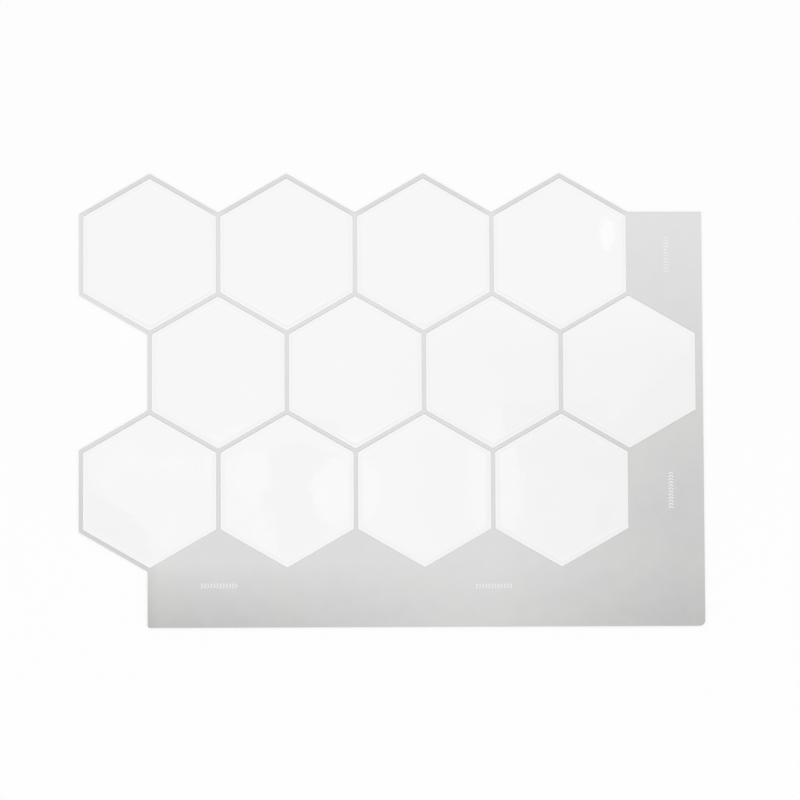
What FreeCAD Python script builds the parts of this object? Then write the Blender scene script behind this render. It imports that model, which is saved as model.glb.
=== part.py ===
import FreeCAD, Part
import math
import os

# A self-adhesive sheet of hexagon wall tile, lying on its back.
# The rows run along X, +Y is up the sheet and +Z is out of its face.
# The origin is on the underside of the sheet, below the middle of its outline.

# Driving dimensions, in millimetres
row_count = 3
tiles_per_row = 4
tile_across_flats = 64.4
grout_width = 2.0
butt_clearance = 0.05      # between a sheet's border and the tiles of the sheet that it overlaps
flap_beyond_tiles = 3.6    # on the right, past the row that stands furthest out
flap_below_tiles = 28.8    # at the bottom, past the lowest tile corners

liner_thickness = 0.15
film_thickness = 0.40
film_corner_radius = 0.6
flap_outer_corner_radius = 2.7
flap_inner_corner_radius = 1.1

tile_height = 1.60
tile_foot_height = 0.45     # upright edge of the cast gel, below its rounded shoulder
tile_edge_radius = 0.60     # at the top of that edge
tile_shoulder_width = 3.0
tile_crown_rise = 0.08      # from the corners of a tile to its middle
tile_corner_radius = 0.8

# Sizes worked out from them
pitch = tile_across_flats + grout_width
row_step = pitch * math.sqrt(3) / 2
tile_apothem = tile_across_flats / 2
border_width = grout_width - butt_clearance
film_top = liner_thickness + film_thickness


def corner_distance(apothem):
    """From the middle of a hexagon to its corners."""
    return apothem * 2 / math.sqrt(3)


def row_shift(row):
    """Every second row stands half a tile to the right."""
    return pitch / 2 if row % 2 else 0.0


def tile_centre(row, column):
    """Middle of a tile, from the middle of the first tile of the top row."""
    return FreeCAD.Vector(column * pitch + row_shift(row), -row * row_step, 0)


def tile_names_and_centres():
    for row in range(row_count):
        for column in range(tiles_per_row):
            yield f"gel_tile_r{row + 1}_c{column + 1}", tile_centre(row, column)


def hexagon_prism(apothem, height, corner_radius):
    """Upright hexagon with a corner at the top and at the bottom of the sheet, its edges rounded."""
    reach = corner_distance(apothem)
    corners = [
        FreeCAD.Vector(reach * math.sin(turn), reach * math.cos(turn), 0)
        for turn in (math.radians(60 * step) for step in range(7))
    ]
    prism = Part.Face(Part.makePolygon(corners)).extrude(FreeCAD.Vector(0, 0, height))
    upright = [edge for edge in prism.Edges if abs(edge.tangentAt(edge.FirstParameter).z) > 0.5]
    return prism.makeFillet(corner_radius, upright)


# Outline that the film and its liner share
border_apothem = tile_apothem + border_width
last_row_shift = max(row_shift(row) for row in range(row_count))
flap_left = last_row_shift - border_apothem
flap_right = (tiles_per_row - 1) * pitch + last_row_shift + tile_apothem + flap_beyond_tiles
flap_bottom = -(row_count - 1) * row_step - corner_distance(tile_apothem) - flap_below_tiles
flap_top = corner_distance(border_apothem) - pitch / 2 / math.sqrt(3)
outline_left = -border_apothem
outline_top = corner_distance(border_apothem)

# From the first tile's middle to the origin of the sheet
to_origin = FreeCAD.Vector(-(outline_left + flap_right) / 2, -(outline_top + flap_bottom) / 2, 0)


def rounded_edge(solid, x, y, radius):
    """Rounds the upright edge that stands at a place."""
    found = [
        edge
        for edge in solid.Edges
        if all(math.hypot(end.X - x, end.Y - y) < 1e-4 for end in edge.Vertexes)
    ]
    return solid.makeFillet(radius, found)


def sheet_outline(thickness):
    """Rectangle that reaches out under the neighbouring sheets, with a border around each tile."""
    rectangle = Part.makeBox(
        flap_right - flap_left,
        flap_top - flap_bottom,
        thickness,
        FreeCAD.Vector(flap_left, flap_bottom, 0),
    )
    rectangle = rounded_edge(rectangle, flap_right, flap_bottom, flap_outer_corner_radius)
    rectangle = rounded_edge(rectangle, flap_left, flap_bottom, flap_inner_corner_radius)
    pad = hexagon_prism(border_apothem, thickness, film_corner_radius)
    pads = [pad.translated(centre) for _, centre in tile_names_and_centres()]
    return rectangle.fuse(pads).removeSplitter()


def overlap_area(sheet, height):
    """Top face of the sheet where the sheet on its right and the one below it are stuck down."""
    right_step = FreeCAD.Vector(tiles_per_row * pitch, 0, 0)
    below_step = FreeCAD.Vector(row_shift(row_count), -row_count * row_step, 0)
    covers = sheet.translated(right_step).fuse(sheet.translated(below_step))
    covered = sheet.common(covers).removeSplitter()
    tops = [
        face
        for face in covered.Faces
        if abs(face.BoundBox.ZMin - height) < 1e-6 and face.BoundBox.ZLength < 1e-6
    ]
    return max(tops, key=lambda face: face.Area)


def make_liner():
    """Peel-off backing, cut in one go with the film."""
    return sheet_outline(liner_thickness)


def make_film():
    """Grout-coloured film with its adhesive, in one piece with the overlap flap."""
    sheet = sheet_outline(film_thickness)
    marked = sheet.generalFuse([overlap_area(sheet, film_thickness)])[0]
    film = max(marked.Solids, key=lambda solid: solid.Volume)
    return film.translated(FreeCAD.Vector(0, 0, liner_thickness))


def shoulder_profile():
    """Section across the flats: upright feet, a tight edge easing into a wide shoulder, a level top."""
    shoulder_height = tile_height - tile_foot_height
    inwards = tile_shoulder_width - tile_edge_radius
    rise = shoulder_height - tile_edge_radius
    ease_radius = (inwards**2 + shoulder_height**2 - tile_edge_radius**2) / (2 * rise)
    edge_turn = math.atan2(ease_radius - shoulder_height, inwards)

    def point(side, inside_edge, height):
        return FreeCAD.Vector(side * (tile_apothem - inside_edge), 0, height)

    def arc_point(side, centre_inside, centre_height, radius, turn):
        return point(side, centre_inside - radius * math.cos(turn), centre_height + radius * math.sin(turn))

    def shoulder(side):
        edge_arc = [
            arc_point(side, tile_edge_radius, tile_foot_height, tile_edge_radius, turn)
            for turn in (0, edge_turn / 2, edge_turn)
        ]
        ease_arc = [
            arc_point(side, tile_shoulder_width, tile_height - ease_radius, ease_radius, turn)
            for turn in (edge_turn, (edge_turn + math.pi / 2) / 2, math.pi / 2)
        ]
        ease_arc[0] = edge_arc[-1]
        return [Part.Arc(*edge_arc).toShape(), Part.Arc(*ease_arc).toShape()]

    edges = [
        Part.makeLine(point(-1, 0, 0), point(1, 0, 0)),
        Part.makeLine(point(1, 0, 0), point(1, 0, tile_foot_height)),
        Part.makeLine(point(1, tile_shoulder_width, tile_height), point(-1, tile_shoulder_width, tile_height)),
        Part.makeLine(point(-1, 0, tile_foot_height), point(-1, 0, 0)),
    ]
    return Part.Face(Part.Wire(Part.__sortEdges__(edges + shoulder(1) + shoulder(-1))))


def make_tile():
    """Domed gel tile: three shouldered bars crossed at 60 degrees, under a shallow crown."""
    reach = corner_distance(tile_apothem)
    bar = shoulder_profile().translated(FreeCAD.Vector(0, -reach, 0)).extrude(FreeCAD.Vector(0, 2 * reach, 0))
    tile = hexagon_prism(tile_apothem, tile_height, tile_corner_radius)
    for turn in (0, 60, 120):
        tile = tile.common(bar.rotated(FreeCAD.Vector(0, 0, 0), FreeCAD.Vector(0, 0, 1), turn))
    crown_radius = (reach**2 + tile_crown_rise**2) / (2 * tile_crown_rise)
    crown_middle = FreeCAD.Vector(0, 0, tile_height - crown_radius)
    crown = Part.makeSphere(crown_radius, crown_middle, FreeCAD.Vector(0, 1, 0))
    crown.rotate(crown_middle, FreeCAD.Vector(0, 1, 0), 90)
    return tile.common(crown)


def save(shape, name):
    placed = shape.translated(to_origin)
    placed.exportStep(f"parts/{name}.step")


os.makedirs("parts", exist_ok=True)
save(make_liner(), "release_liner")
save(make_film(), "printed_film")
tile = make_tile()
for name, centre in tile_names_and_centres():
    save(tile.translated(centre + FreeCAD.Vector(0, 0, film_top)), name)
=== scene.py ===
import math

import bpy
from mathutils import Matrix, Quaternion, Vector


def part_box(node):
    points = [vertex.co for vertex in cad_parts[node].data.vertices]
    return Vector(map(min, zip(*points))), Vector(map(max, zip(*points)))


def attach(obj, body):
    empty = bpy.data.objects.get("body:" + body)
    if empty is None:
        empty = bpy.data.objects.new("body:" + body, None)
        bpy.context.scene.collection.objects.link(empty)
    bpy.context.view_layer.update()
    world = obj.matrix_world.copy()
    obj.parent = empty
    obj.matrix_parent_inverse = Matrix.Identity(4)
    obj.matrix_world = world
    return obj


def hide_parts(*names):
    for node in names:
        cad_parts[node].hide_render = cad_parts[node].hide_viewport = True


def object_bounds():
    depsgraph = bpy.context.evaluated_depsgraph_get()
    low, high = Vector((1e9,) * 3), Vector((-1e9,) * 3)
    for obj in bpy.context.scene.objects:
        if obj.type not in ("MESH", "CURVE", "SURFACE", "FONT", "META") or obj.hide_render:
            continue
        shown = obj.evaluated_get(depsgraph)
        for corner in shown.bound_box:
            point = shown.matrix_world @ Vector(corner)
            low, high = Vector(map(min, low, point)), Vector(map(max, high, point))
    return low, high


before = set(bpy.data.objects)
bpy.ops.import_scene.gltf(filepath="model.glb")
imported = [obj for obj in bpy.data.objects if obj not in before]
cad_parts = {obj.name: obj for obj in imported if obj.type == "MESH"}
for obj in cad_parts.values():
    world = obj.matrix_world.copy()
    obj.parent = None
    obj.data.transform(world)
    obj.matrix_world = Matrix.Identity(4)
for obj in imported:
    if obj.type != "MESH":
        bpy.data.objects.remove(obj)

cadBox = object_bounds()
scene = bpy.context.scene
print("frame loaded:", len(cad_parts), "CAD nodes")


class NodeValue:  # an output socket; arithmetic on it adds Math nodes to its tree
    def __init__(self, maker, socket):
        self.maker = maker
        self.socket = socket

    def maths(self, operation, *values, clamp=False):
        settings = {"operation": operation, "use_clamp": clamp}
        return self.maker.add("ShaderNodeMath", settings, dict(enumerate((self, *values))))

    def output(self, name):
        return NodeValue(self.maker, self.socket.node.outputs[name])

    def __add__(self, other):
        return self.maths("ADD", other)

    def __sub__(self, other):
        return self.maths("SUBTRACT", other)

    def __mul__(self, other):
        return self.maths("MULTIPLY", other)

    def __truediv__(self, other):
        return self.maths("DIVIDE", other)

    def __pow__(self, other):
        return self.maths("POWER", other)

    def __radd__(self, other):
        return self + other

    def __rmul__(self, other):
        return self * other

    def __rsub__(self, other):
        return self * -1 + other

    def __rtruediv__(self, other):
        return self.maths("POWER", -1) * other

    def clamped(self):
        return self.maths("ADD", 0, clamp=True)

    def above(self, limit):
        return self.maths("GREATER_THAN", limit)


class NodeMaker:  # adds nodes to one tree
    def __init__(self, tree):
        self.tree = tree

    def add(self, kind, settings=None, inputs=None, output=0):
        node = self.tree.nodes.new(kind)
        for name, value in (settings or {}).items():
            if name == "stops":
                self.setStops(node.color_ramp, value)
            else:
                setattr(node, name, value)
        for name, value in (inputs or {}).items():
            socket = self.findSocket(node.inputs, name)
            if isinstance(value, NodeValue):
                self.tree.links.new(value.socket, socket)
            else:
                socket.default_value = value
        return NodeValue(self, self.findSocket(node.outputs, output)) if node.outputs else node

    def findSocket(self, sockets, name):
        if isinstance(name, int):
            return sockets[name]
        byIdentifier = [socket for socket in sockets if socket.identifier == name]
        return byIdentifier[0] if byIdentifier else sockets[name]

    def setStops(self, ramp, stops):
        while len(ramp.elements) < len(stops):
            ramp.elements.new(0.5)
        for element, (position, level) in zip(ramp.elements, stops):
            element.position = position
            element.color = (level, level, level, 1)

    def mixColours(self, factor, first, second, blend="MIX"):
        settings = {"data_type": "RGBA", "blend_type": blend}
        inputs = {"Factor_Float": factor, "A_Color": first, "B_Color": second}
        return self.add("ShaderNodeMix", settings, inputs, "Result_Color")


def objectPlace(maker):
    return maker.add("ShaderNodeTexCoord", output="Object")


def splitPlace(maker, place):
    axes = maker.add("ShaderNodeSeparateXYZ", {}, {"Vector": place})
    return axes.output("X"), axes.output("Y")


def joinAxes(maker, x=0.0, y=0.0, z=0.0):
    return maker.add("ShaderNodeCombineXYZ", {}, {"X": x, "Y": y, "Z": z})


def noise(maker, place, scale, detail, roughness):
    inputs = {"Vector": place, "Scale": scale, "Detail": detail, "Roughness": roughness}
    return maker.add("ShaderNodeTexNoise", {}, inputs, "Fac")


def swing(value, depth, middle=0.5):  # noise turned into a change either way
    return (value - middle) * depth


def fade(value, start, end):
    return ((value - start) / (end - start)).clamped()


def lostShare(value, start, end, share):
    return fade(value, start, end) * share


def grey(level, warmth=0.0):
    return (level, level * (1 - warmth), level * (1 - 2 * warmth), 1)


def newMaterial(name):
    material = bpy.data.materials.new(name)
    material.use_nodes = True
    material.node_tree.nodes.clear()
    return material, NodeMaker(material.node_tree)


def finishMaterial(maker, shader):
    maker.add("ShaderNodeOutputMaterial", {}, {"Surface": shader})


def finishSurface(maker, look, colour, roughness, height):
    strength, distance = look["relief"]
    bump = maker.add("ShaderNodeBump", {}, {"Strength": strength, "Distance": distance, "Height": height})
    shader = maker.add("ShaderNodeBsdfPrincipled", {}, {
        "Base Color": colour, "Roughness": roughness, "IOR": look["ior"], "Normal": bump,
    })
    finishMaterial(maker, shader)


filmPrintAndPaintedShade = {
    "level": 0.740,
    # painted shade: fades of the grey where the light falls off: from, to (metres along x or y), and the
    # share that is lost
    "sheetFade": (0.075, -0.075, 0.07),       # down the whole sheet
    "sideFade": (0.052, 0.140, 0.155),        # to the right, below sideStart
    "sideStart": (0.105, -0.055),
    "topBorder": (0.0905, 0.0925, 0.065),     # along the upper outline
    "cornerBorder": (-0.112, -0.120, 0.075),  # along the lower left outline, below cornerStart
    "cornerStart": (-0.020, -0.045),
    "bottomFade": (-0.079, -0.1105),          # down the overlap, least in one light patch of it
    "bottomLoss": 0.085,
    "bottomLeftLoss": (0.032, -0.100, 0.155),
    "bottomRightLoss": (0.034, 0.056, 0.015),
    # noises: scale, detail, roughness
    "clouds": (24.0, 3.0, 0.5),
    "patches": (120.0, 3.0, 0.6),
    "grain": (2600.0, 1.0, 0.5),
    "cloudDepth": 0.03,
    "patchDepth": 0.05,
    "patchBase": 0.8,
    "patchGain": 4.0,                         # patches are stronger where the painted shade is deeper
    "grainDepth": 0.016,
    # warm stains in the parts darkened by the painted shade
    "warmTint": (1.0, 0.999, 0.972, 1),
    "warmMiddle": 0.47,
    "warmClouds": 5.0,
    "warmPatches": 3.0,
    "warmGain": 7.0,
    "warmStart": 0.2,
    "roughness": 0.42,
    "cloudRoughness": 0.18,
    "grainRoughness": 0.1,
    "patchHeight": 0.6,
    "grainHeight": 0.05,
    "relief": (0.35, 0.00025),                # strength and distance of the bump
    "ior": 1.46,
}


def filmMaterial():
    look = filmPrintAndPaintedShade
    material, maker = newMaterial("greyFilmPrintAndPaintedShade")
    place = objectPlace(maker)
    across, up = splitPlace(maker, place)
    clouds = noise(maker, place, *look["clouds"])
    patches = noise(maker, place, *look["patches"])
    grain = noise(maker, place, *look["grain"])

    # painted shade: the grey darkens down the sheet, to the right, along the upper and lower left outlines,
    # and most down the overlap
    bottomLoss = (
        lostShare(across, *look["bottomLeftLoss"])
        + lostShare(across, *look["bottomRightLoss"])
        + look["bottomLoss"]
    )
    paintedShade = (
        lostShare(up, *look["sheetFade"])
        + lostShare(across, *look["sideFade"]) * fade(up, *look["sideStart"])
        + lostShare(up, *look["topBorder"])
        + lostShare(across, *look["cornerBorder"]) * fade(up, *look["cornerStart"])
        + fade(up, *look["bottomFade"]) * bottomLoss
    )
    patchShare = paintedShade * look["patchGain"] + look["patchBase"]
    mottle = swing(clouds, look["cloudDepth"]) + swing(patches, look["patchDepth"]) * patchShare
    tone = (1 - paintedShade + mottle + swing(grain, look["grainDepth"])) * look["level"]
    plain = maker.mixColours(tone.clamped(), grey(0.0), grey(1.0))

    stains = swing(clouds, look["warmClouds"], look["warmMiddle"]) + swing(patches, look["warmPatches"])
    warmth = stains.clamped() * (paintedShade * look["warmGain"] - look["warmStart"]).clamped()
    colour = maker.mixColours(warmth, plain, look["warmTint"], "MULTIPLY")

    roughness = (
        swing(clouds, look["cloudRoughness"])
        + swing(grain, look["grainRoughness"])
        + look["roughness"]
    )
    height = patches * look["patchHeight"] + grain * look["grainHeight"] + clouds
    finishSurface(maker, look, colour, roughness, height)
    return material


castGel = {
    "level": 0.896,
    "sideFade": (-0.020, 0.130, 0.036),   # painted shade: from x, to x, share of the white lost at the right
    "sideStart": (0.045, 0.020),          # that fade sets in from y, to y
    "clouds": (35.0, 2.0, 0.5),
    "ripples": (240.0, 1.0, 0.5),
    "specks": (900.0, 1.0, 0.5),
    "cloudDepth": 0.016,
    "speckDepth": 0.004,
    # painted light and shade in the base colour, on the shoulder and the edge
    "rimDepth": 0.055,
    "rimNoise": (16.0, 0.0, 0.5),         # the painted highlight line on the shoulder comes and goes
    "rimContrast": 8.0,
    "rimBase": 0.3,
    "bevelPaintedLightAndShade": 0.06,                    # painted light on the upper bevels, painted shade on the lower ones
    "paintedEdgeLight": 0.10,                     # painted light that lifts the shaded upright edge
    "roughness": 0.014,
    "smudges": 0.009,
    "smudgeNoise": (60.0, 4.0, 0.6),
    "smudgeStops": [(0.45, 0.0), (0.75, 1.0)],
    "rippleHeight": 4.0,
    "speckHeight": 0.02,
    "relief": (0.1, 0.00002),
    "ior": 1.5,
}


def storedShare(maker, name):
    return maker.add("ShaderNodeAttribute", {"attribute_name": name}, {}, "Fac")


def gelMaterial():
    look = castGel
    material, maker = newMaterial("clearCastGelOnWhite")
    place = objectPlace(maker)
    across, up = splitPlace(maker, place)
    clouds = noise(maker, place, *look["clouds"])
    ripples = noise(maker, place, *look["ripples"])
    specks = noise(maker, place, *look["specks"])
    smudges = maker.add("ShaderNodeValToRGB", {"stops": look["smudgeStops"]}, {
        "Fac": noise(maker, place, *look["smudgeNoise"]),
    })

    rimNoise = noise(maker, place, *look["rimNoise"])
    rimShare = (swing(rimNoise, look["rimContrast"]) + look["rimBase"]).clamped()
    # painted highlight line with its painted shade band, painted bevel light and shade, and painted edge
    # light
    lights = (
        storedShare(maker, "rim") * rimShare * look["rimDepth"]
        + storedShare(maker, "bevel") * look["bevelPaintedLightAndShade"]
        + storedShare(maker, "edge") * look["paintedEdgeLight"]
    )
    # painted shade: the white darkens towards the right
    paintedShade = lostShare(across, *look["sideFade"]) * fade(up, *look["sideStart"])
    grain = swing(clouds, look["cloudDepth"]) + swing(specks, look["speckDepth"])
    tone = (1 - paintedShade + grain + lights) * look["level"]
    colour = maker.mixColours(tone.clamped(), grey(0.0), grey(1.0))

    roughness = smudges * look["smudges"] + look["roughness"]
    height = clouds + ripples * look["rippleHeight"] + specks * look["speckHeight"]
    finishSurface(maker, look, colour, roughness, height)
    return material


linerPaper = {
    "darkest": (0.8084, 0.024),  # level and warmth
    "lightest": (0.903, 0.012),
    "clouds": (45.0, 4.0, 0.6),
    "fibres": (700.0, 3.0, 0.7),
    "fibreStretch": (1.0, 0.25, 1.0),
    "cloudDepth": 0.7,
    "fibreDepth": 0.8,
    "roughness": 0.62,
    "fibreRoughness": 0.2,
    "relief": (0.4, 0.00004),
    "ior": 1.5,
}


def linerMaterial():
    look = linerPaper
    material, maker = newMaterial("siliconePaperLiner")
    place = objectPlace(maker)
    stretched = maker.add("ShaderNodeMapping", {}, {"Vector": place, "Scale": look["fibreStretch"]})
    clouds = noise(maker, place, *look["clouds"])
    fibres = noise(maker, stretched, *look["fibres"])
    tone = (swing(clouds, look["cloudDepth"]) + swing(fibres, look["fibreDepth"]) + 0.5).clamped()
    colour = maker.mixColours(tone, grey(*look["darkest"]), grey(*look["lightest"]))
    roughness = swing(fibres, look["fibreRoughness"]) + look["roughness"]
    finishSurface(maker, look, colour, roughness, fibres)
    return material


markInk = {
    "darkest": 0.88,
    "lightest": 0.94,
    "specks": (2200.0, 2.0, 0.5),
    "roughness": 0.5,
    "speckRoughness": 0.2,
    "relief": (0.3, 0.00002),
    "ior": 1.5,
}


def inkMaterial():
    look = markInk
    material, maker = newMaterial("whiteMarkInk")
    specks = noise(maker, objectPlace(maker), *look["specks"])
    colour = maker.mixColours(specks, grey(look["darkest"]), grey(look["lightest"]))
    roughness = swing(specks, look["speckRoughness"]) + look["roughness"]
    finishSurface(maker, look, colour, roughness, specks)
    return material


film = filmMaterial()
gel = gelMaterial()
liner = linerMaterial()
ink = inkMaterial()
print("materials made")


def newTree(name, sockets):
    tree = bpy.data.node_groups.new(name, "GeometryNodeTree")
    tree.interface.new_socket(name="Geometry", in_out="OUTPUT", socket_type="NodeSocketGeometry")
    for label, kind in sockets.items():
        tree.interface.new_socket(name=label, in_out="INPUT", socket_type="NodeSocket" + kind)
    maker = NodeMaker(tree)
    return tree, maker, maker.add("NodeGroupInput")


def finishTree(maker, geometry, material):
    real = maker.add("GeometryNodeRealizeInstances", {}, {"Geometry": geometry})
    finished = maker.add("GeometryNodeSetMaterial", {}, {"Geometry": real, "Material": material})
    maker.add("NodeGroupOutput", {}, {"Geometry": finished})


def pieceFromTree(tree, name, values):
    piece = bpy.data.objects.new(name, bpy.data.meshes.new(name))
    scene.collection.objects.link(piece)
    modifier = piece.modifiers.new("shape", "NODES")
    modifier.node_group = tree
    for item in tree.interface.items_tree:
        if item.in_out == "INPUT" and item.name in values:
            modifier[item.identifier] = values[item.name]
    evaluated = piece.evaluated_get(bpy.context.evaluated_depsgraph_get())
    mesh = bpy.data.meshes.new_from_object(evaluated)
    piece.modifiers.clear()
    piece.data = mesh
    mesh.name = name
    return piece


gelTile = {
    "sizes": {                            # inputs of the tree, in metres
        "acrossFlats": 0.0644,
        "footHeight": 0.00045,
        "edgeRadius": 0.0006,
        "shoulderWidth": 0.003,
        "crownRise": 0.00008,
        "cornerRadius": 0.0008,
        "innerCornerRadius": 0.0026,
        "waviness": 0.000003,
    },
    "cornerGrowth": 0.8,                  # how much rounder each ring gets towards the middle
    "wavinessNoise": (55.0, 1.0),         # scale and detail
    "firstSeed": 3.0,
    # painted light and shade in the gel's colour: insets where it starts, peaks and ends
    "rimLine": (0.0023, 0.0026, 0.0029),  # the painted highlight line on the shoulder
    "rimBand": (0.0010, 0.0016, 0.0022),  # the painted shade band outside it
    "bandShare": 0.45,
    # how far in the painted edge light and the painted bevel light and shade reach
    "edgeReach": 0.0010,
    "bevelReach": 0.0024,
    # the mesh
    "pointsPerSide": 24,
    "crowdingPower": 1.2,                 # points crowd at the corners
    "crowdingShare": 0.88,
    "footRings": 4,
    "edgeRings": 8,
    "easeRings": 16,
    "topRings": 16,
    "topSpacing": 0.6,                    # first ring's width on the top, as a share of an even one
    "support": 0.00004,                   # keeps the foot's edge crisp when the tile is shaded smooth
    "crownBlend": 0.00003,
    "mergeDistance": 0.000002,
}


def gelTileTree():
    tile = gelTile
    sockets = dict.fromkeys(tile["sizes"], "Float")
    sockets.update({"height": "Float", "seed": "Float", "middle": "Vector", "material": "Material"})
    tree, maker, given = newTree("castGelTile", sockets)
    apothem = given.output("acrossFlats") / 2
    reach = given.output("acrossFlats") / math.sqrt(3)
    height = given.output("height")
    foot = given.output("footHeight")
    edgeRadius = given.output("edgeRadius")
    shoulderWidth = given.output("shoulderWidth")

    # a flat grid wrapped round the tile: columns go round, rows go from the underside's middle to the top's
    edgeStart = tile["footRings"]
    easeStart = edgeStart + tile["edgeRings"]
    topStart = easeStart + tile["easeRings"]
    rings = topStart + tile["topRings"]
    grid = maker.add("GeometryNodeMeshGrid", {}, {
        "Size X": 1.0, "Size Y": 1.0, "Vertices X": tile["pointsPerSide"] * 6 + 1, "Vertices Y": rings + 1,
    })
    gridX, gridY = splitPlace(maker, maker.add("GeometryNodeInputPosition"))
    sixth = (gridX + 0.5) * 6
    ring = ((gridY + 0.5) * rings).maths("ROUND")

    def fromRing(number):  # 1 from that ring on, 0 before it
        return ring.above(number - 0.5)

    # section: underside, upright foot, tight edge arc, wide shoulder arc, level top
    shoulderHeight = height - foot
    inwards = shoulderWidth - edgeRadius
    easeRadius = (inwards * inwards + shoulderHeight * shoulderHeight - edgeRadius * edgeRadius) / (
        (shoulderHeight - edgeRadius) * 2
    )
    edgeTurn = (easeRadius - shoulderHeight).maths("ARCTAN2", inwards)
    onEdge = ((ring - edgeStart) / tile["edgeRings"]).clamped()
    onEase = ((ring - easeStart) / tile["easeRings"]).clamped()
    onTop = ((ring - topStart) / tile["topRings"]).clamped()
    edgeAngle = edgeTurn * onEdge
    easeAngle = edgeTurn + (math.pi / 2 - edgeTurn) * onEase
    inset = (
        (1 - fromRing(1)) * apothem
        + (fromRing(1) - fromRing(2)) * tile["support"]
        + edgeRadius * (1 - edgeAngle.maths("COSINE"))
        + easeRadius * (edgeTurn.maths("COSINE") - easeAngle.maths("COSINE"))
        + (apothem - shoulderWidth) * onTop * (onTop * (1 - tile["topSpacing"]) + tile["topSpacing"])
    )
    up = (
        (fromRing(3) - fromRing(edgeStart)) * tile["support"]
        + fromRing(edgeStart) * foot
        + edgeRadius * edgeAngle.maths("SINE")
        + easeRadius * (easeAngle.maths("SINE") - edgeTurn.maths("SINE"))
    )

    # outline: a hexagon with a corner at the top and the bottom, rounder further in
    innerExtra = given.output("innerCornerRadius") - given.output("cornerRadius")
    onShoulder = (inset / shoulderWidth).clamped()
    ringCorner = given.output("cornerRadius") + innerExtra * onShoulder
    ringCorner = ringCorner + apothem * onTop * tile["cornerGrowth"]
    sharpness = reach * (math.log(2) / (2 / math.sqrt(3) - 1)) / ringCorner
    lastSixth = 5.9999  # keeps the closing column in the sixth before it
    corner = sixth.maths("MINIMUM", lastSixth).maths("FLOOR") + 0.5
    fromCorner = sixth - corner
    crowding = (fromCorner.maths("ABSOLUTE") * 2) ** tile["crowdingPower"] * tile["crowdingShare"]
    spread = fromCorner * (crowding + (1 - tile["crowdingShare"]))
    angle = (corner + spread) * (math.pi / 3)
    flats = [
        (angle - turn * math.pi / 3).maths("COSINE").maths("ABSOLUTE") ** sharpness
        for turn in range(3)
    ]
    distance = (apothem - inset) / (flats[0] + flats[1] + flats[2]) ** (1 / sharpness)
    across = angle.maths("COSINE") * distance
    along = angle.maths("SINE") * distance

    # crown, and the slight unevenness of a cast surface
    fromMiddle = distance / reach
    crown = height - given.output("crownRise") * fromMiddle * fromMiddle
    rounded = up.maths("SMOOTH_MIN", crown, tile["crownBlend"])
    scale, detail = tile["wavinessNoise"]
    unevenness = maker.add("ShaderNodeTexNoise", {"noise_dimensions": "4D"}, {
        "Vector": joinAxes(maker, across, along), "W": given.output("seed"),
        "Scale": scale, "Detail": detail,
    }, "Fac")
    raised = (up / height).clamped()
    surface = rounded - given.output("waviness") * unevenness * raised * raised

    # painted highlight, painted shade and painted edge light for the colour: the side that each point
    # belongs to says how far it looks up or down the sheet
    sideTurn = (angle * (3 / math.pi)).maths("ROUND") * (math.pi / 3)
    lineStart, linePeak, lineEnd = tile["rimLine"]
    bandStart, bandPeak, bandEnd = tile["rimBand"]
    line = fade(inset, lineStart, linePeak) * fade(inset, lineEnd, linePeak)
    band = fade(inset, bandStart, bandPeak) * fade(inset, bandEnd, bandPeak)
    slanted = sideTurn.maths("SINE")
    marks = {
        "rim": (line - band * tile["bandShare"]) * slanted.maths("ABSOLUTE") * fromRing(edgeStart),
        "edge": fade(inset, tile["edgeReach"], 0.0),
        "bevel": fade(inset, tile["bevelReach"], 0.0) * slanted,
    }
    marked = grid
    for label, share in marks.items():
        marked = maker.add("GeometryNodeStoreNamedAttribute", {"data_type": "FLOAT", "domain": "POINT"}, {
            "Geometry": marked, "Name": label, "Value": share,
        })

    shaped = maker.add("GeometryNodeSetPosition", {}, {
        "Geometry": marked, "Position": joinAxes(maker, across, along, surface),
    })
    closed = maker.add("GeometryNodeMergeByDistance", {}, {
        "Geometry": shaped, "Distance": tile["mergeDistance"],
    })
    placed = maker.add("GeometryNodeTransform", {}, {
        "Geometry": closed, "Translation": given.output("middle"),
    })
    smooth = maker.add("GeometryNodeSetShadeSmooth", {}, {"Geometry": placed})
    finishTree(maker, smooth, given.output("material"))
    return tree


tileTree = gelTileTree()
tileNodes = sorted(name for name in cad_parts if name.startswith("gel_tile_"))
for number, nodeName in enumerate(tileNodes):
    low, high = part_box(nodeName)
    middle = (low + high) / 2
    piece = pieceFromTree(tileTree, nodeName.replace("gel_tile", "domed_gel"), {
        **gelTile["sizes"],
        "height": high.z - low.z,
        "seed": gelTile["firstSeed"] + number,
        "middle": (middle.x, middle.y, low.z),
        "material": gel,
    })
    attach(piece, "root")
    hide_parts(nodeName)
print("gel tiles made:", len(tileNodes), "with", len(piece.data.polygons), "faces each")


overlapMarks = {
    "sizes": {
        "spacing": 0.0015,
        "chevronHeight": 0.0023,
        "chevronDepth": 0.0008,
        "stroke": 0.00052,
        "inkThickness": 0.000012,
    },
    "chevrons": 12,
    "rows": [  # middle x and y, turn in degrees
        (-0.0836, -0.0901, 0.0),
        (0.0491, -0.0906, 0.0),
        (0.1339, 0.0706, 90.0),
        (0.1352, -0.0444, 90.0),
    ],
}


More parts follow.
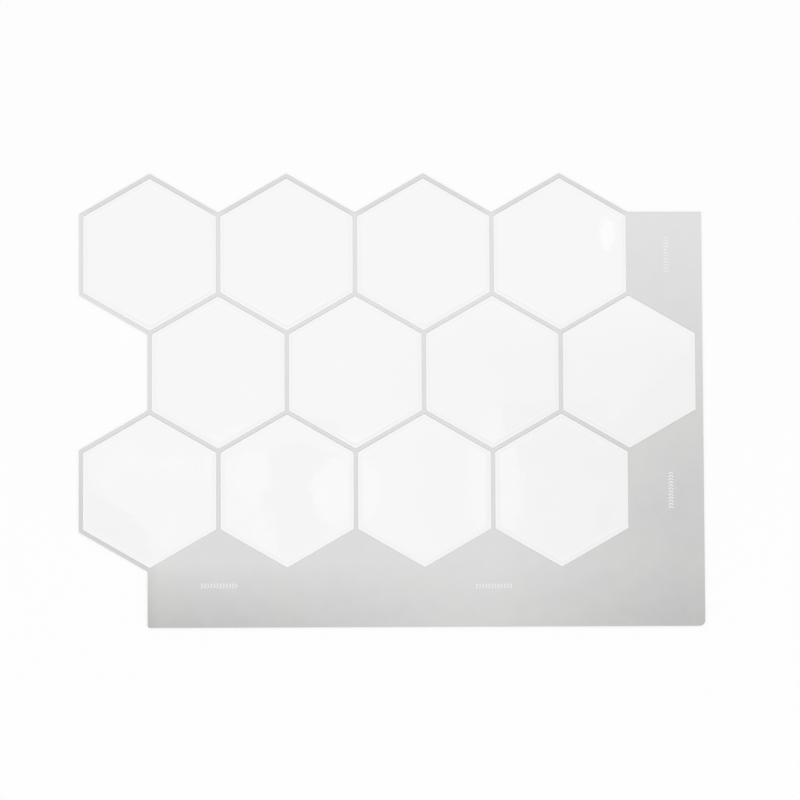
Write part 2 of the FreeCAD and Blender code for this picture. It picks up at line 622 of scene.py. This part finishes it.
def markTree():
    marks = overlapMarks
    sockets = dict.fromkeys(marks["sizes"], "Float")
    sockets.update({"level": "Float", "material": "Material"})
    tree, maker, given = newTree("rowsOfChevrons", sockets)
    line = maker.add("GeometryNodeMeshLine", {}, {"Count": 3})  # the ends and the bend of a chevron
    along = maker.add("GeometryNodeInputIndex") - 1
    bent = maker.add("GeometryNodeSetPosition", {}, {
        "Geometry": line,
        "Position": joinAxes(
            maker,
            (0.5 - along.maths("ABSOLUTE")) * given.output("chevronDepth"),
            along * given.output("chevronHeight") / 2,
        ),
    })
    path = maker.add("GeometryNodeMeshToCurve", {}, {"Mesh": bent})
    section = maker.add("GeometryNodeCurvePrimitiveQuadrilateral", {}, {
        "Width": given.output("stroke"), "Height": given.output("inkThickness"),
    })
    chevron = maker.add("GeometryNodeCurveToMesh", {}, {
        "Curve": path, "Profile Curve": section, "Fill Caps": True,
    })
    spots = maker.add("GeometryNodeMeshLine", {}, {
        "Count": marks["chevrons"],
        "Start Location": joinAxes(maker, given.output("spacing") * (-0.5 * (marks["chevrons"] - 1))),
        "Offset": joinAxes(maker, given.output("spacing")),
    })
    row = maker.add("GeometryNodeInstanceOnPoints", {}, {"Points": spots, "Instance": chevron})
    rows = maker.add("GeometryNodeJoinGeometry")
    for x, y, turn in marks["rows"]:
        placed = maker.add("GeometryNodeTransform", {}, {
            "Geometry": row,
            "Translation": joinAxes(maker, x, y, given.output("level")),
            "Rotation": (0.0, 0.0, math.radians(turn)),
        })
        maker.tree.links.new(placed.socket, rows.socket.node.inputs[0])
    finishTree(maker, rows, given.output("material"))
    return tree


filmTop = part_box("printed_film")[1].z
marksPiece = pieceFromTree(markTree(), "overlap_marks", {
    **overlapMarks["sizes"],
    "level": filmTop + overlapMarks["sizes"]["inkThickness"] / 2,
    "material": ink,
})
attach(marksPiece, "root")
print("overlap marks made:", len(marksPiece.data.polygons), "faces")


# the film and the liner keep their CAD shape
for nodeName, material in (("printed_film", film), ("release_liner", liner)):
    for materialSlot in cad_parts[nodeName].material_slots:
        materialSlot.material = material


studio = {  # sizes in metres, strengths with 1 as white
    "floorSize": 6.0,
    "floorLevel": -0.0002,
    "floorGrey": 0.80,
    "floorGlow": 0.165,
    "worldStrength": 0.70,
    "mirroredStrength": 0.862,
}


def makeSheet(name, corners, material, onlyMirrored=False):
    mesh = bpy.data.meshes.new(name)
    mesh.from_pydata(corners, [], [tuple(range(len(corners)))])
    mesh.materials.append(material)
    sheet = bpy.data.objects.new(name, mesh)
    sheet.visible_camera = not onlyMirrored
    sheet.visible_diffuse = not onlyMirrored
    sheet.visible_transmission = not onlyMirrored
    sheet.visible_shadow = not onlyMirrored
    scene.collection.objects.link(sheet)


def makeFloor():
    material, maker = newMaterial("paleFloor")
    rays = maker.add("ShaderNodeLightPath")
    seen = rays.output("Is Camera Ray").maths("MAXIMUM", rays.output("Is Glossy Ray"))
    seen = seen.maths("MAXIMUM", rays.output("Is Transmission Ray"))
    matt = maker.add("ShaderNodeBsdfDiffuse", {}, {"Color": grey(studio["floorGrey"])})
    glow = maker.add("ShaderNodeEmission", {}, {"Strength": seen * studio["floorGlow"]})
    finishMaterial(maker, maker.add("ShaderNodeAddShader", {}, {0: matt, 1: glow}))
    half = studio["floorSize"] / 2
    corners = [(x * half, y * half, studio["floorLevel"]) for x, y in ((-1, -1), (1, -1), (1, 1), (-1, 1))]
    makeSheet("paleFloor", corners, material)


def makeWorld():
    world = bpy.data.worlds.new("paleRoom")
    world.use_nodes = True
    world.node_tree.nodes.clear()
    maker = NodeMaker(world.node_tree)
    rays = maker.add("ShaderNodeLightPath")
    seen = rays.output("Is Camera Ray").maths("MAXIMUM", rays.output("Is Transmission Ray"))
    soft = studio["worldStrength"]
    mirroredExtra = rays.output("Is Glossy Ray") * (studio["mirroredStrength"] - soft)
    strength = seen * (1 - soft) + mirroredExtra + soft
    background = maker.add("ShaderNodeBackground", {}, {"Color": grey(1.0), "Strength": strength})
    maker.add("ShaderNodeOutputWorld", {}, {"Surface": background})
    scene.world = world


shot = {
    "place": (-0.05135, -0.20187, 2.26783),
    "turns": (5.08, -1.3966, -0.1618),  # degrees, about x, then y, then z
    "lens": 211.5,
    "sensorWidth": 36.0,
    "nearest": 0.05,
    "furthest": 50.0,
}


def makeCamera():
    camera = bpy.data.cameras.new("shotCamera")
    camera.lens = shot["lens"]
    camera.sensor_width = shot["sensorWidth"]
    camera.clip_start = shot["nearest"]
    camera.clip_end = shot["furthest"]
    turned = Matrix.Identity(3)
    for degrees, axis in zip(shot["turns"], "XYZ"):
        turned = turned @ Matrix.Rotation(math.radians(degrees), 3, axis)
    holder = bpy.data.objects.new("shotCamera", camera)
    holder.location = shot["place"]
    holder.rotation_euler = turned.to_euler()
    scene.collection.objects.link(holder)
    scene.camera = holder


boxLamps = [
    # a wide box whose corner points at the sheet: two corners of the lowest row look past it
    {
        "name": "ceilingBox", "place": (-0.016, 1.440, 2.06), "size": (2.2, 2.2),
        "radiance": 0.36, "turn": 45.0,
    },
    # a far box that lights the gaps between the tiles from the lower side
    {
        "name": "lowBox", "place": (0.0, -2.4, 4.8), "target": (0.0, 0.0, 0.0), "size": (2.0, 2.0),
        "radiance": 7.1, "mirrored": False,
    },
]


def makeLamp(name, place, size, radiance, target=None, oval=False, turn=0.0, mirrored=True):
    lamp = bpy.data.lights.new(name, "AREA")
    lamp.shape = "ELLIPSE" if oval else "RECTANGLE"
    lamp.size = size[0]
    lamp.size_y = size[1]
    area = size[0] * size[1] * (math.pi / 4 if oval else 1)
    lamp.energy = radiance * area * math.pi
    target = target or (place[0], place[1], 0.0)  # straight down
    aim = (Vector(target) - Vector(place)).to_track_quat("-Z", "Y")
    holder = bpy.data.objects.new(name, lamp)
    holder.location = place
    holder.rotation_mode = "QUATERNION"
    holder.rotation_quaternion = aim @ Quaternion((0, 0, 1), math.radians(turn))
    holder.visible_glossy = mirrored
    scene.collection.objects.link(holder)


# what the flat tops mirror, placed by where it is seen on the sheet
mirroredShapes = {
    "lampHeight": 2.0,   # below the cards, which lie below the ceiling box
    "cardHeight": 2.03,
    # oval lamps: name, seen at, width and depth, radiance
    "lamps": [
        ("roundLamp", (-0.0230, -0.0441), (0.048, 0.070), 0.45),
        ("streakLampA", (-0.1282, -0.0244), (0.027, 0.023), 0.28),
        ("streakLampB", (-0.0995, -0.0271), (0.069, 0.009), 0.42),
        ("streakLampC", (-0.0963, -0.0345), (0.057, 0.007), 0.35),
        ("slimLamp", (0.1114, 0.0824), (0.018, 0.034), 1.2),
        ("patchLampA", (-0.0708, -0.0351), (0.044, 0.060), 0.42),
        ("patchLampB", (-0.0623, -0.0680), (0.030, 0.046), 0.27),
        ("tallLamp", (0.0493, -0.0393), (0.030, 0.110), 0.42),
    ],
    # cards that only mirrors see: name, glow, outline
    "cards": [
        ("middleCard", 0.77, [
            (-0.0612, -0.0225), (-0.0538, -0.0162), (-0.0401, -0.0141), (-0.0285, -0.0183),
            (-0.0237, -0.0230), (-0.0297, -0.0282), (-0.0363, -0.0403), (-0.0357, -0.0523),
            (-0.0297, -0.0620), (-0.0236, -0.0692), (-0.0369, -0.0849), (-0.0508, -0.0922),
            (-0.0562, -0.0783), (-0.0635, -0.0632), (-0.0659, -0.0481), (-0.0623, -0.0379),
        ]),
        ("rightCard", 0.862, [
            (0.0546, -0.0046), (0.1024, -0.0046), (0.1024, -0.0452), (0.0631, -0.0783),
            (0.0594, -0.0692), (0.0613, -0.0511), (0.0601, -0.0390), (0.0559, -0.0282),
        ]),
        ("creaseCard", 0.5, [
            (0.1150, -0.0318), (0.1167, -0.0318), (0.1157, -0.0451), (0.1139, -0.0542),
            (0.1124, -0.0632), (0.1099, -0.0692), (0.1030, -0.0681), (0.1030, -0.0553),
            (0.1076, -0.0529), (0.1118, -0.0511), (0.1141, -0.0439),
        ]),
        ("leftCard", 0.45, [
            (-0.1720, -0.0384), (-0.1474, -0.0463), (-0.1323, -0.0559), (-0.1184, -0.0681),
            (-0.1160, -0.0825), (-0.1172, -0.1059), (-0.1720, -0.1059),
        ]),
    ],
}


def mirrorPlace(seenAt, height):  # the place at that height which the camera sees mirrored there
    tileTop = cadBox[1][2]
    share = (height - tileTop) / (shot["place"][2] - tileTop)
    x, y = (seen + (seen - eye) * share for seen, eye in zip(seenAt, shot["place"]))
    return x, y, height


def makeCard(name, glow, outline):
    material, maker = newMaterial(name)
    finishMaterial(maker, maker.add("ShaderNodeEmission", {}, {"Color": grey(1.0), "Strength": glow}))
    corners = [mirrorPlace(seenAt, mirroredShapes["cardHeight"]) for seenAt in outline]
    makeSheet(name, corners, material, onlyMirrored=True)


makeFloor()
makeWorld()
for lamp in boxLamps:
    makeLamp(**lamp)
for name, seenAt, size, radiance in mirroredShapes["lamps"]:
    makeLamp(name, mirrorPlace(seenAt, mirroredShapes["lampHeight"]), size, radiance, oval=True)
for card in mirroredShapes["cards"]:
    makeCard(*card)
makeCamera()
scene.view_settings.view_transform = "Standard"
print("studio made")
